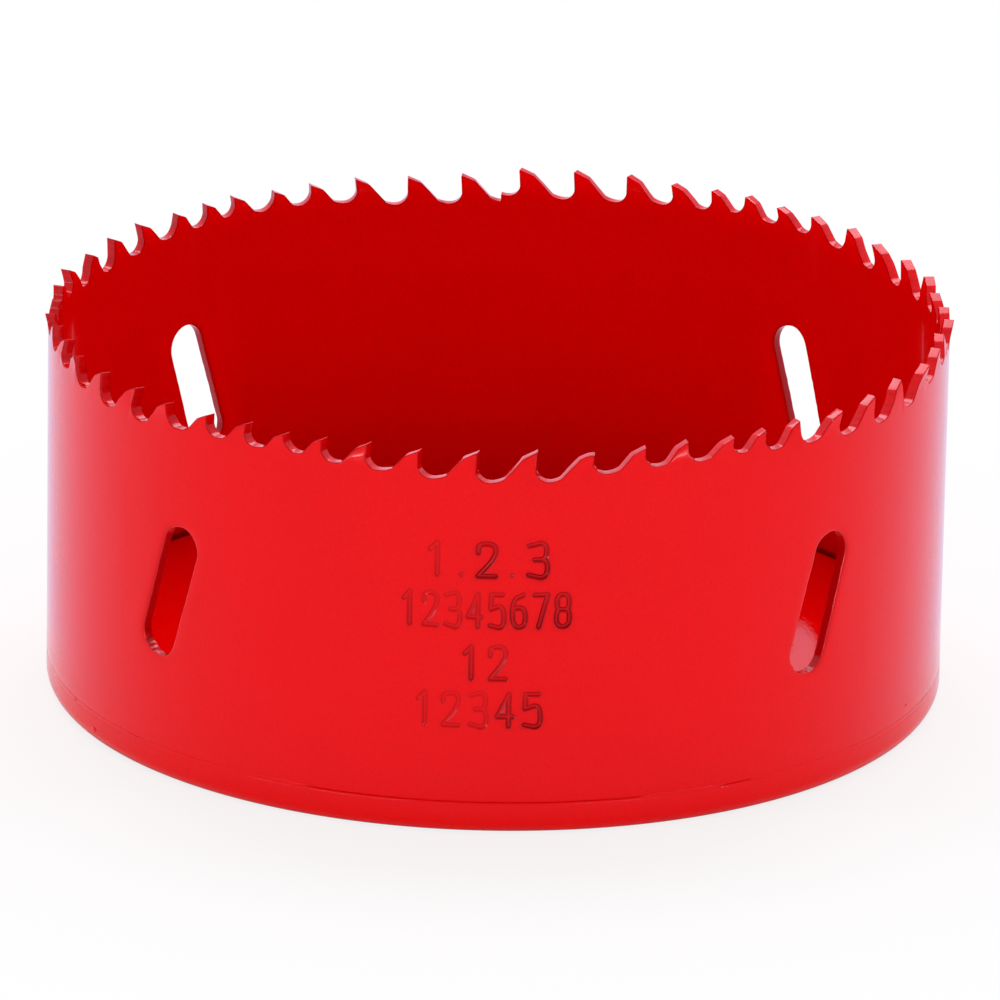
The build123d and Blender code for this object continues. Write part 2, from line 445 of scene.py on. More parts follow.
# The toothed top of the wall: every point of the tooth line starts a column that goes down the outside to
# the fine line and down the inside. The edge's rounding shrinks where the line bends too tightly for it,
# and evens out along the line. The set bends a tooth out or in above its bend line.
def addTeeth(shell):
    s, z, skew, lean, top, column, rake = toothLine()
    ds = np.roll(s, -1) - np.roll(s, 1)
    ds = (ds + halfTurn) % (2 * halfTurn) - halfTurn
    dz = np.roll(z, -1) - np.roll(z, 1)
    length = np.hypot(ds, dz)
    inS, inZ = dz / length, -ds / length
    heading = np.unwrap(np.arctan2(dz, ds))
    bend = np.abs((np.roll(heading, -1) - np.roll(heading, 1) + np.pi) % (2 * np.pi) - np.pi)
    radius = np.minimum(band["edgeRound"], band["tightest"] * length / np.maximum(bend, 1e-3))
    times, change = band["easing"]
    for _ in range(times):
        radius = np.minimum(radius, (np.roll(radius, 1) + np.roll(radius, -1)) / 2 + change)

    d, e, edgeShade = overEdge(radius, 2, band["edgeShade"], 0)
    down = np.array(band["down"])[:, None]
    startS, startZ = s + inS * radius, z + inZ * radius
    sideS = startS + (column - startS) * down
    sideZ = startZ + (band["fineLine"] - startZ) * down
    allS = np.concatenate([sideS[:0:-1], s + inS * e, sideS[1:]])
    allZ = np.concatenate([sideZ[:0:-1], z + inZ * e, sideZ[1:]])
    one = np.ones_like(sideS[1:])
    allD = np.concatenate([halfWall * one, d, -halfWall * one])
    fade = np.concatenate([1 - down[:0:-1], np.ones((len(e), 1)), 1 - down[1:]])
    above = np.maximum(allZ - (top - band["setHeight"]), 0)
    soft = above * above / (above + band["bendSoft"])
    allS = allS + band["rakeSkew"] * skew * fade * (halfWall - allD) / band["wall"]
    allD = allD + lean * band["set"] * soft / band["setHeight"]
    # Painted shade over the rounded edges and, across the cut face, over the rake faces.
    overFace = np.clip(np.arange(len(e)) / 2 - 0.5, 0, 1)
    overFace = np.minimum(overFace, overFace[::-1])[:, None]
    cutShade = np.maximum(edgeShade + 0 * e, band["rakeShade"][0] * rake * overFace)
    ids = shell.add(onBand(allS, allZ, allD), np.concatenate([0 * one, cutShade, 0 * one]))
    outerEnd, innerEnd = len(one) + len(quarter), len(ids) - len(one) - len(quarter)
    shell.rings(ids[:outerEnd])
    shell.rings(ids[outerEnd - 1:innerEnd + 1], finish=milled)
    shell.rings(ids[innerEnd:], finish=inner)
    return ids[0], ids[-1], column


# The points round a rectangular window in a grid, anticlockwise from its lower left corner, and their
# angles about a middle. u and v are the grid points' places on the surface.
def windowLoop(ids, u, v, columns, rows, middle):
    c0, c1 = columns
    r0, r1 = rows
    j = np.concatenate([np.arange(c0, c1), np.full(r1 - r0, c1), np.arange(c1, c0, -1), np.full(r1 - r0, c0)])
    i = np.concatenate([np.full(c1 - c0, r0), np.arange(r0, r1), np.full(c1 - c0, r1), np.arange(r1, r0, -1)])
    return ids[i, j], np.arctan2(v[i, j] - middle[1], u[i, j] - middle[0])


# Triangles between a closer ring of points and the window round it, matched by angle.
def fillWindow(ringIds, ringAngle, *window):
    loopIds, loopAngle = windowLoop(*window)
    sides = []
    for ids, angle in ((ringIds, ringAngle), (loopIds, loopAngle)):
        turn = (angle - loopAngle[0]) % (2 * np.pi)
        order = np.argsort(turn)
        sides += [np.append(turn[order], turn[order[0]] + 2 * np.pi), np.append(ids[order], ids[order[0]])]
    return zipFaces(*sides)


# One leaning slot: rings that follow its round-ended outline, from the wall's outside in to the edge,
# through the wall and out again on the inside. Each ring is the outline moved out by e, at the depth d. The
# enamel's ripples move the edge, and its clots gather at the lower end.
def addSlot(shell, place, middle, seed):
    side = (slots["length"] - slots["width"]) / 2
    up = np.linspace(-side, side, slots["steps"][0], endpoint=False)
    head, tail = (np.linspace(0, np.pi, count, endpoint=False) for count in slots["steps"][1:])
    centre = np.concatenate([up, 0 * head + side, -up, 0 * tail - side])
    facing = np.concatenate([0 * up, head, 0 * up + np.pi, tail + np.pi])
    lean = slots["lean"]
    alongS, alongZ = np.sin(lean), np.cos(lean)
    outS = np.cos(facing) * alongZ + np.sin(facing) * alongS
    outZ = -np.cos(facing) * alongS + np.sin(facing) * alongZ

    radius = np.full(len(centre), slots["edgeRound"])
    edgeD, edgeE, edgeShade = overEdge(radius, slots["between"], slots["edgeShade"], slots["wallShade"])
    rings = np.array(slots["rings"])[:, None] + radius
    flat = 0 * rings
    e = np.concatenate([rings[::-1], edgeE, rings])
    d = np.concatenate([flat + halfWall, edgeD, flat - halfWall])
    # Painted shade: over the edge and on the cut wall, more on the side away from the front, and in a halo
    # round the slot that fades outwards.
    away = np.maximum(np.cos(facing) * np.sign(place), 0)
    least, more, over = slots["halo"]
    fading = (least + more * away) * np.exp(-(rings - radius) / over)
    thin = np.concatenate([fading[::-1], edgeShade + slots["sideShade"] * away * (edgeE > 0), fading])
    around = np.arctan2(centre + np.sin(facing) * slots["width"] / 2, np.cos(facing) * slots["width"] / 2)
    lumpy, lumpWaves, lumpReach = slots["lumps"]
    thick, clotWaves, drift, aside, spread, whole = slots["clots"]
    roll, fade, varies, rollWaves = slots["rollOver"]
    low = np.exp(-((np.cos(facing) + aside) ** 2 + (np.sin(facing) + 1) ** 2) / spread) * (centre < 0)
    clots = 0.5 + ripple(around, clotWaves, seed + 1, d, drift)
    lumps = lumpy * ripple(around, lumpWaves, seed) + thick * low * np.maximum(clots, 0)
    e = e - np.exp(-(e / lumpReach) ** 2) * lumps
    uneven = 1 + varies * ripple(around, rollWaves, seed + 2)
    d = d - roll * uneven * np.exp(-np.maximum(e - radius, 0) / fade) * (d > halfWall / 2)
    # The painted shade lifts off the larger clots at the lower end, so that their gloss shows.
    thin = thin * (1 - low * np.clip(3 * (clots - whole), 0, 1))

    reach = slots["width"] / 2 + e
    height = slots["height"] + rise(place)
    s = place + alongS * centre + outS * reach
    z = height + alongZ * centre + outZ * reach
    ids = shell.add(onBand(s, z, d), thin)
    outside, inside = len(rings), len(ids) - len(rings) - 1
    shell.rings(ids[:outside + 1])
    shell.rings(ids[outside:inside + 1], finish=cut)
    shell.rings(ids[inside:], finish=inner)
    angle = np.arctan2(z[0] - middle[1], s[0] - middle[0])
    return ids[0], ids[-1], angle


# The digits in use, as strokes on a cell 0.6 wide and 1 high. A doubled point keeps its corner sharp.
digits = {
    "1": [[(0.08, 0.78), (0.34, 1), (0.34, 1), (0.34, 0)]],
    "2": [[(0, 0.72), (0, 1), (0.6, 1), (0.6, 0.6), (0, 0), (0, 0), (0.6, 0)]],
    "3": [[(0, 0.95), (0.6, 1.08), (0.6, 0.52), (0.2, 0.52)],
          [(0.2, 0.52), (0.66, 0.52), (0.62, -0.08), (0, 0.05)]],
    "4": [[(0.45, 0), (0.45, 1), (0.45, 1), (0, 0.3), (0, 0.3), (0.6, 0.3)]],
    "5": [[(0.55, 1), (0.05, 1), (0.05, 1), (0.02, 0.55), (0.02, 0.55), (0.6, 0.7), (0.66, -0.06), (0, 0.04)]],
    "6": [[(0.5, 1), (0, 0.85), (0, 0), (0.6, 0), (0.6, 0.6), (0, 0.6), (0, 0.3)]],
    "7": [[(0, 1), (0.6, 1), (0.6, 1), (0.2, 0)]],
    "8": [[(0.3, 0.53), (0.02, 0.53), (0.02, 1), (0.58, 1), (0.58, 0.53), (0.3, 0.53)],
          [(0.3, 0.53), (0, 0.53), (0, 0), (0.6, 0), (0.6, 0.53), (0.3, 0.53)]],
    ".": [[(0.3, 0.03), (0.31, 0.05)]],
}


# Rounds a stroke by cutting its corners three times, a quarter in from each end of every run.
def softened(points):
    line = np.array(points, float)
    for _ in range(3):
        a, b = line[:-1], line[1:]
        inner = np.stack([0.75 * a + 0.25 * b, 0.25 * a + 0.75 * b], 1).reshape(-1, 2)
        line = np.concatenate([line[:1], inner, line[-1:]])
    return line


# How far the surface stands out at each point of the stamped wall, and its painted shade there. A stroke is a
# groove with steep sides, a flat floor and a low lip, by the distance to its line. A blow went deeper at the
# foot of its digit.
def punched(s, z):
    depth, strokeShade = 0 * s, 0 * s
    half = stamp["strokeHalf"]
    lipHeight, lipAway, lipWidth = stamp["lip"]
    sides, floor, around = stamp["strokeShade"]
    sideWidth, aroundWidth = stamp["strokeShadeWidth"]
    for height, text, first, pitch, wide, blows in stamp["rows"]:
        for place, (sign, blow) in enumerate(zip(text, blows)):
            nearest = np.full(s.shape, stamp["far"])
            for stroke in digits[sign]:
                corner = (first + pitch * place, height - stamp["height"] / 2)
                line = softened(stroke) * (stamp["height"] * wide, stamp["height"]) + corner
                for (x0, z0), (x1, z1) in zip(line[:-1], line[1:]):
                    dx, dz = x1 - x0, z1 - z0
                    share = np.clip(((s - x0) * dx + (z - z0) * dz) / (dx * dx + dz * dz + 1e-9), 0, 1)
                    nearest = np.minimum(nearest, np.hypot(s - x0 - share * dx, z - z0 - share * dz))
            force = blow * np.interp(z - height, *stamp["tilt"])
            groove = 1 / (1 + np.exp((nearest - half) / stamp["edge"]))
            lip = lipHeight * np.exp(-((nearest - half - lipAway) / lipWidth) ** 2)
            depth = depth + stamp["depth"] * force * (lip - groove)
            # Painted shade down the stroke's sides and on its floor, and round the heavier blows.
            side = np.exp(-((nearest - half) / sideWidth) ** 2)
            strokeShade = strokeShade + sides * force * side + floor * force * groove
            strokeShade = strokeShade + around * force ** 2 * np.exp(-(nearest / aroundWidth) ** 2)
    return depth, np.clip(strokeShade, 0, 1)


# The stamped part of the wall: a grid, fine where the digits are, joined to its window.
def addStamp(shell, low, high, *window):
    margin, step = stamp["margin"], stamp["step"]
    across = np.linspace(low[0] + margin, high[0] - margin, int((high[0] - low[0]) / step))
    reach = stamp["height"] / 2 + stamp["past"]
    up = [np.array([low[1] + margin, high[1] - margin])]
    up += [np.arange(row[0] - reach, row[0] + reach, step) for row in stamp["rows"]]
    up = np.sort(np.concatenate(up))
    widest, fine = stamp["fill"]
    between = [
        np.linspace(up[gap], up[gap + 1], int((up[gap + 1] - up[gap]) / fine) + 2)[1:-1]
        for gap in np.flatnonzero(np.diff(up) > widest)
    ]
    up = np.sort(np.concatenate([up] + between))
    s, z = np.meshgrid(across, up)
    depth, strokeShade = punched(s, z)
    ids = shell.add(onBand(s, z, halfWall + depth), strokeShade)
    shell.faces(gridFaces(ids))
    ring, angle = windowLoop(ids, s, z, (0, len(across) - 1), (0, len(up) - 1), window[-1])
    shell.faces(fillWindow(ring, angle, *window), flip=True)


# The whole band. The plain wall is one grid on each face, with windows where the slots and the stamped
# marks have their own finer points, and a rounded foot where it stands on the disc.
def makeBand():
    shell = Shell()
    outerFine, innerFine, column = addTeeth(shell)
    gridS = np.linspace(-halfTurn, halfTurn, band["wallColumns"] + 1)
    gridZ = np.linspace(band["wallFoot"], band["wallTop"], band["wallRows"] + 1)
    s, z = np.meshgrid(gridS[:-1], gridZ)
    outside = shell.add(onBand(s, z, halfWall))
    # Painted shade on the inside, darkest at the foot and fading out over a given height.
    most, over = band["innerShade"]
    inside = shell.add(onBand(s, z, -halfWall), most * np.clip(1 - (z - z[0]) / over, 0, 1))

    footZ = band["foot"] + band["footRound"] * offEdge
    footD = halfWall - band["footRound"] * inFromFace
    curveZ = np.concatenate([[disc["thickness"]], footZ, footZ[::-1]])[:, None]
    curveD = np.concatenate([[-halfWall], -footD, footD[::-1]])[:, None]
    corner = np.where(curveD < 0, band["cornerShade"], 0)    # painted shade in the corner inside
    footRows = shell.add(onBand(gridS[None, :-1], curveZ, curveD), corner)
    shell.rings(np.concatenate([inside[:1], footRows, outside[:1]]))

    fineAt = np.append(column, column[0] + 2 * halfTurn)
    for fine, grid, flip, finish in ((outerFine, outside, True, plain), (innerFine, inside, False, inner)):
        shell.faces(zipFaces(fineAt, closed(fine[None])[0], gridS, closed(grid)[-1]), flip, finish)

    grids = closed(outside), closed(inside)
    s, z = np.meshgrid(gridS, gridZ)
    solid = np.ones((2, band["wallRows"], band["wallColumns"]), bool)
    half, rows = slots["windowHalf"], slots["windowRows"]
    for number, place in enumerate(slots["places"]):
        centre = int(round((place + halfTurn) / (2 * halfTurn) * band["wallColumns"]))
        solid[:, rows[0]:rows[1], centre - half:centre + half] = False
        middle = gridS[centre], (gridZ[rows[0]] + gridZ[rows[1]]) / 2
        *rings, angle = addSlot(shell, place, middle, 10 * number)
        for grid, ring, flip, finish in zip(grids, rings, (True, False), (plain, inner)):
            window = grid, s, z, (centre - half, centre + half), rows, middle
            shell.faces(fillWindow(ring, angle, *window), flip, finish)

    front = band["wallColumns"] // 2
    start, end = front + stamp["window"][0], front + stamp["window"][1]
    rows = stamp["windowRows"]
    solid[0, rows[0]:rows[1], start:end] = False
    middle = gridS[front], (gridZ[rows[0]] + gridZ[rows[1]]) / 2
    low, high = (gridS[start], gridZ[rows[0]]), (gridS[end], gridZ[rows[1]])
    addStamp(shell, low, high, grids[0], s, z, (start, end), rows, middle)

    for grid, kept, flip, finish in zip(grids, solid, (False, True), (plain, inner)):
        shell.faces(gridFaces(grid)[kept.ravel()], flip, finish)
    return shell.build("enamelledBand")


bandPiece = makeBand()
print("band made")


# A point at a radius and a height on the disc, for an angle about its axis.
def onDisc(angle, r, z):
    angle, r, z = np.broadcast_arrays(angle, r, z)
    return np.stack([r * np.cos(angle), r * np.sin(angle), z], -1) * mm


pinAngles = np.linspace(0, 2 * np.pi, disc["pinColumns"], endpoint=False)


# The outside of the disc from its bottom face round to its top face: the flat, a quarter round, the side,
# the shoulder under the band, and the spigot inside it.
def discProfile():
    r, bottom = band["radius"] - disc["inset"], disc["bottomRound"]
    turn = np.linspace(0, np.pi / 2, disc["footSteps"])
    soft, mouth = disc["edgeRound"], disc["spigotRound"]
    spigot, shoulder, top = disc["spigot"], disc["shoulder"], disc["thickness"]
    corner = quarter[::-1]
    points = [
        *zip(r - bottom + bottom * np.sin(turn), bottom - bottom * np.cos(turn)),
        *((r, height) for height in disc["sideRows"]),
        *zip(r - soft + soft * np.sin(corner), shoulder - soft + soft * np.cos(corner)),
        (disc["seatMiddle"], shoulder),
        (spigot, shoulder),
        *zip(spigot - mouth + mouth * np.sin(corner), top - mouth + mouth * np.cos(corner)),
    ]
    return np.array(points).T


# The middle of a pin hole, and circles round it at distances out from its wall and at heights.
def pinCircles(place, out, z):
    turn = 2 * np.pi * place / disc["pinCount"]
    middle = disc["pinCircle"] * np.cos(turn), disc["pinCircle"] * np.sin(turn)
    reach = disc["pinHole"] + np.array(out)[:, None]
    x, y = middle[0] + reach * np.cos(pinAngles), middle[1] + reach * np.sin(pinAngles)
    return middle, np.stack([x, y, np.array(z)[:, None] + 0 * x], -1) * mm


# One face of the disc, a polar grid from the thread's mouth out to its rim, with a window round each pin
# hole. The rings of a hole's chamfered mouth come back so that the wall of the hole can join them.
def addDiscFace(shell, z, angles, rimIds, upward):
    r = np.array(disc["rings"])[:, None]
    ids = shell.add(onDisc(angles[None, :-1], r, z))
    ids = closed(np.concatenate([ids, rimIds[None]]))
    outTo = np.append(r, r[-1] + 1)[:, None]
    u, v = outTo * np.cos(angles), outTo * np.sin(angles)
    solid = np.ones((len(r), disc["columns"]), bool)
    half, rows = disc["pinWindow"]
    finish = topSkin if upward else plain
    out = np.concatenate([disc["pinRings"], disc["pinRound"] * offEdge[:-1]])
    drop = np.concatenate([[0, 0], disc["pinRound"] * inFromFace[:-1]]) * (-1 if upward else 1)
    mouths = []
    for place in range(disc["pinCount"]):
        centre = disc["columns"] * place // disc["pinCount"]
        order = (centre - np.arange(-half, half + 1)) % disc["columns"]
        solid[rows[0]:rows[1], order[1:]] = False
        middle, circles = pinCircles(place, out, z + drop)
        window = ids[:, order], u[:, order], v[:, order], (0, 2 * half), rows, middle
        rings = shell.add(circles)
        shell.faces(fillWindow(rings[0], pinAngles, *window), upward, finish)
        shell.rings(rings, flip=not upward)
        mouths.append(rings[-1])
    shell.faces(gridFaces(ids)[solid.ravel()], upward, finish)
    return ids[0, :-1], mouths


# The tapped middle, from face to face: the radius goes in and out once for each pitch of height, later by
# a pitch each turn, and a chamfer opens out each mouth.
def addThread(shell, angles, bottomIds, topIds):
    z = np.linspace(0, disc["thickness"], disc["threadRows"] + 1)[:, None]
    turns = z / disc["threadPitch"] - angles[None, :-1] / (2 * np.pi)
    ridge = np.abs((turns % 1) * 2 - 1)
    stretch, shift = disc["threadShape"]
    depth = np.clip(ridge * stretch + shift, 0, 1)
    r = disc["threadMinor"] + (disc["threadMajor"] - disc["threadMinor"]) * depth
    mouth = disc["threadMouth"] - np.minimum(z, disc["thickness"] - z)
    r = np.maximum(r, mouth)
    ids = shell.add(onDisc(angles[None, :-1], r, z))
    ids = np.concatenate([bottomIds[None], ids, topIds[None]])
    shell.rings(ids, flip=True)


# The whole disc, one closed surface: the profile carried round the axis, both faces and all the holes.
def makeCap():
    shell = Shell()
    angles = np.linspace(0, 2 * np.pi, disc["columns"] + 1)
    r, z = discProfile()
    # Painted shade round the foot, and in patches in the corner on the spigot.
    thin = np.zeros((len(r), disc["columns"]))
    thin[:len(disc["footShade"])] = np.array(disc["footShade"])[:, None]
    usual, varies, waves, least = disc["seatPatches"]
    patchy = np.clip(usual + varies * ripple(angles[:-1], waves, 12), least, 1)
    thin[-len(disc["seatShade"]):] = np.array(disc["seatShade"])[:, None] * patchy
    side = shell.add(onDisc(angles[None, :-1], r[:, None], z[:, None]), thin)
    shell.rings(side)
    bottomRing, bottomMouths = addDiscFace(shell, 0.0, angles, side[0], upward=False)
    topRing, topMouths = addDiscFace(shell, disc["thickness"], angles, side[-1], upward=True)
    addThread(shell, angles, bottomRing, topRing)
    low, high = disc["pinRound"], disc["thickness"] - disc["pinRound"]
    for place, (lower, upper) in enumerate(zip(bottomMouths, topMouths)):
        wall = shell.add(pinCircles(place, (0, 0, 0), (low, disc["thickness"] / 2, high))[1])
        shell.rings(np.concatenate([lower[None], wall, upper[None]]), flip=True)
    return shell.build("enamelledDisc")


capPiece = makeCap()
print("disc made")


# Enamel that has filled the seam between the band and the disc: a low bead all round, with gaps where the
# seam still shows. Gaps and tapers are places along the band.
seam = {
    "height": 3.78,
    "halfWidth": 0.30,
    "standOut": 0.028,
    "sunk": 0.18,          # depth of the enamel in the gaps
    "sunkShade": 0.4,       # and the painted shade there, in the open groove
    "sink": 0.30,          # depth of the bead's back, inside the wall
    "backWidth": 0.48,     # and its width as a share of the bead's
    "feather": 0.012,      # how far the bead's edges go into the wall
    "gaps": [(-19.9, 16.2), (27.1, 29.5)],
    "taper": 0.9,
    "wander": 0.09,        # how far the bead wanders up and down
    "swell": 0.25,         # how much its width changes
    "lumps": (0.75, 0.15), # how far it stands out on the whole, and how much that changes
    "ragged": 0.35,        # how ragged the ends are
    "waves": (5, 11, 23, 41, 67, 97),
    "lumpWaves": (13, 37, 71),
    "raggedWaves": (61, 113, 171),
    "columns": 1500,
    "rows": 9,
}


# A lens-shaped bead carried along the seam, which sinks into it where there is a gap: it stands out least
# at its edges, by the square of the distance from its middle, and has a narrow flat back in the wall.
def makeSeam():
    s = np.linspace(-halfTurn, halfTurn, seam["columns"], endpoint=False)
    turn = s / band["radius"]
    here = np.ones_like(s)
    ragged = seam["ragged"] * ripple(turn, seam["raggedWaves"], 4)
    for start, end in seam["gaps"]:
        here = here * np.clip((np.maximum(start - s, s - end) + ragged) / seam["taper"], 0, 1)
    middle = seam["height"] + seam["wander"] * ripple(turn, seam["waves"], 7)
    wide = seam["halfWidth"] * (1 + seam["swell"] * ripple(turn, seam["waves"], 8))
    whole, lumpy = seam["lumps"]
    out = seam["standOut"] * (whole + lumpy * ripple(turn, seam["lumpWaves"], 9)) * here
    out = out - seam["sunk"] * (1 - here)
    across = np.linspace(-1, 1, seam["rows"])[:, None]
    d = halfWall + out - (np.maximum(out, 0) + seam["feather"]) * across ** 2
    front = onBand(s, middle + wide * across, d)
    back = onBand(s, middle + seam["backWidth"] * wide * np.array([[1], [-1]]), halfWall - seam["sink"])
    shell = Shell()
    # The open gaps of the seam carry painted shade.
    ids = shell.add(np.concatenate([front, back]), seam["sunkShade"] * (1 - here))
    shell.rings(np.concatenate([ids, ids[:1]]))
    return shell.build("seamEnamel")


# Grit and dust under the coat
nibs = {
    # place, height, width along, width up and how far each stands out
    "grains": [
        (-59.1, 3.6, 0.34, 0.22, 0.10),
        (-53.8, 1.9, 0.50, 0.30, 0.16),
        (-36.4, 2.3, 0.26, 0.18, 0.08),
        (-28.9, 9.6, 0.16, 0.16, 0.05),
        (-47.2, 12.8, 0.14, 0.14, 0.05),
        (-12.4, 29.0, 0.14, 0.14, 0.04),
        (31.95, 37.1, 0.20, 0.16, 0.07),
        (22.6, 11.2, 0.15, 0.13, 0.05),
        (46.3, 8.6, 0.20, 0.15, 0.06),
        (58.0, 5.1, 0.30, 0.18, 0.09),
        (13.4, 33.9, 0.13, 0.13, 0.04),
    ],
    "sunk": 0.015,         # how deep a grain's rim lies in the wall
    "root": 0.1,           # its back lies this much deeper
    "rootWidth": 0.6,      # and is this share as wide
    "lift": (0.05, np.pi / 2 - 0.25),      # angles up the dome of its first and last rings
    "rings": 4,
    "columns": 12,
}


# Low domes on the wall: rings of a half ellipsoid, closed by a point at the top and at the back.
def makeNibs():
    shell = Shell()
    turn = np.linspace(0, 2 * np.pi, nibs["columns"], endpoint=False)
    lift = np.linspace(*nibs["lift"], nibs["rings"])[:, None]
    reach = np.concatenate([[[nibs["rootWidth"]]], np.cos(lift)])
    face, root = halfWall - nibs["sunk"], nibs["root"]
    for place, height, wide, tall, out in nibs["grains"]:
        d = face + np.concatenate([[[-root]], out * np.sin(lift)])
        ids = shell.add(onBand(place + wide * reach * np.cos(turn), height + tall * reach * np.sin(turn), d))
        shell.rings(ids)
        for ring, depth, flip in ((ids[-1], out, False), (ids[0], -root, True)):
            tip = shell.add(onBand(np.array([place]), np.array([height]), np.array([face + depth])))
            fan = np.stack([ring, np.roll(ring, -1), np.broadcast_to(tip, ring.shape)], -1)
            shell.faces(fan, flip)
    return shell.build("paintNibs")


seamPiece = makeSeam()
nibPiece = makeNibs()
print("seam and nibs made")


# Red enamel, sprayed thick: an even colour with slightly deeper patches, orange peel, and painted shade over
# sharp edges, on shaded faces and in corners and grooves
enamel = {
    # the coat: its colours, its roughness against the usual, and its orange peel in waves per metre and
    # metres of depth
    "coat": {
        "Colour": (0.84, 0.0003, 0.0008, 1),
        "Deep": (0.77, 0.0002, 0.0006, 1),
        # the colour of the painted shade
        "Painted Shade": (0.19, 0.0003, 0.002, 1),
        "Roughness": 1,
        "Peel Size": 2900,
        "Peel Depth": 0.00002,
    },
    # its gloss: the index of refraction is low for a soft, deep enamel
    "paint": {"IOR": 1.185, "Coat IOR": 1.185, "Coat Roughness": 0.05},
    # noise in waves per metre, and what share of it turns the colour deeper
    "patches": {"Scale": 60, "Detail": 6},
    "patchShare": {"From Min": 0.45, "From Max": 0.8, "To Max": 0.5},
    "flecks": {"Scale": 4200, "Detail": 1},
    "fleckShare": {"From Min": 0.3, "From Max": 0.7, "To Max": 0.9},
    "grain": {"Scale": 400, "Detail": 5},
    "roughness": {"To Min": 0.11, "To Max": 0.20},
    "peelDetail": 2,
    "gloss": {"To Min": 1, "To Max": 0.15},    # left where there is no painted shade and where it is full
}
# What differs on each kind of surface, in the coat and in its gloss
finishes = {
    "redEnamel": ({}, {}),
    # on the milled faces of the teeth: a lighter colour, which is painted light, and more gloss
    "milledEnamel": (
        {"Colour": (0.94, 0.0006, 0.002, 1), "Deep": (0.76, 0.0004, 0.001, 1)},
        {"Coat IOR": 1.34},
    ),
    # inside the band: a lighter colour, which is painted light, and a duller gloss
    "innerEnamel": (
        {"Colour": (0.90, 0.0003, 0.0008, 1), "Deep": (0.83, 0.0002, 0.0006, 1)},
        {"IOR": 1.05, "Coat IOR": 1.05},
    ),
    "slotEnamel": ({}, {"Coat IOR": 1.36}),    # on the cut edges of the slots, where it shines more
    # on top of the disc, where its skin has no second gloss and its grain shows
    "topEnamel": (
        {"Roughness": 0.3, "Peel Size": 1900, "Peel Depth": 0.000014},
        {"IOR": 1.33, "Coat IOR": 1},
    ),
}
# The cutter's marks under the enamel of the milled faces: noise drawn out level with the teeth
milling = {
    "stretch": (0.06, 0.06, 1),
    "lines": {"Scale": 2600, "Detail": 3},
    "bands": {"From Min": 0.4, "From Max": 0.6, "To Min": 0.82},   # share of the colour left in them
    "bump": {"Strength": 0.35, "Distance": 0.00008},
}


# A shader node of this kind in a tree: its settings are made first, and then the values of its inputs.
def newNode(tree, kind, inputs=None, **settings):
    node = tree.nodes.new("ShaderNode" + kind)
    for name, value in settings.items():
        setattr(node, name, value)
    for name, value in (inputs or {}).items():
        node.inputs[name].default_value = value
    return node


# Joins sockets: each row gives a node and its output, and the node and input that it feeds.
def link(tree, *rows):
    for source, output, target, entry in rows:
        tree.links.new(source.outputs[output], target.inputs[entry])


# An empty node material of the given name, with its tree.
def newMaterial(name):
    material = bpy.data.materials.new(name)
    material.use_nodes = True
    material.node_tree.nodes.clear()
    return material, material.node_tree


# The sprayed coat, shared by every finish. The colour goes towards the deep one in patches and flecks and then
# towards the painted shade colour by the painted shade. The roughness and the gloss that is left vary too, the
# gloss falling under the painted shade, and the normal is the orange peel's.
def makeCoat():
    tree = bpy.data.node_groups.new("sprayedCoat", "ShaderNodeTree")
    sockets = {
        "INPUT": {"Place": "Vector", "Colour": "Color", "Deep": "Color", "Painted Shade": "Color",
                  "Roughness": "Float", "Peel Size": "Float", "Peel Depth": "Float"},
        "OUTPUT": {"Colour": "Color", "Roughness": "Float", "Gloss": "Float", "Normal": "Vector"},
    }
    for side, names in sockets.items():
        for name, kind in names.items():
            tree.interface.new_socket(name, in_out=side, socket_type="NodeSocket" + kind)
    given, put = tree.nodes.new("NodeGroupInput"), tree.nodes.new("NodeGroupOutput")
    patches = newNode(tree, "TexNoise", enamel["patches"])
    amount = newNode(tree, "MapRange", enamel["patchShare"])
    speckle = newNode(tree, "TexNoise", enamel["flecks"])
    fleck = newNode(tree, "MapRange", enamel["fleckShare"])
    both = newNode(tree, "Math", use_clamp=True)
    body, coat = (newNode(tree, "Mix", data_type="RGBA") for _ in range(2))
    # The painted shade on each point, which darkens the colour and takes gloss away.
    thin = newNode(tree, "Attribute", attribute_name="thin")
    grain = newNode(tree, "TexNoise", enamel["grain"])
    sheen = newNode(tree, "MapRange", enamel["roughness"])
    polish = newNode(tree, "Math", operation="MULTIPLY")
    peel = newNode(tree, "TexNoise", {"Detail": enamel["peelDetail"]})
    peelBump = newNode(tree, "Bump")
    dulling = newNode(tree, "MapRange", enamel["gloss"])
    link(
        tree,
        *((given, "Place", noise, "Vector") for noise in (patches, speckle, grain, peel)),
        (patches, "Fac", amount, "Value"),
        (speckle, "Fac", fleck, "Value"),
        (amount, "Result", both, 0),
        (fleck, "Result", both, 1),
        (both, "Value", body, "Factor"),
        (given, "Colour", body, "A"),
        (given, "Deep", body, "B"),
        (thin, "Fac", coat, "Factor"),
        (body, "Result", coat, "A"),
        (given, "Painted Shade", coat, "B"),
        (coat, "Result", put, "Colour"),
        (grain, "Fac", sheen, "Value"),
        (sheen, "Result", polish, 0),
        (given, "Roughness", polish, 1),
        (polish, "Value", put, "Roughness"),
        (peel, "Fac", peelBump, "Height"),
        (given, "Peel Size", peel, "Scale"),
        (given, "Peel Depth", peelBump, "Distance"),
        (thin, "Fac", dulling, "Value"),
        (dulling, "Result", put, "Gloss"),
        (peelBump, "Normal", put, "Normal"),
    )
    return tree


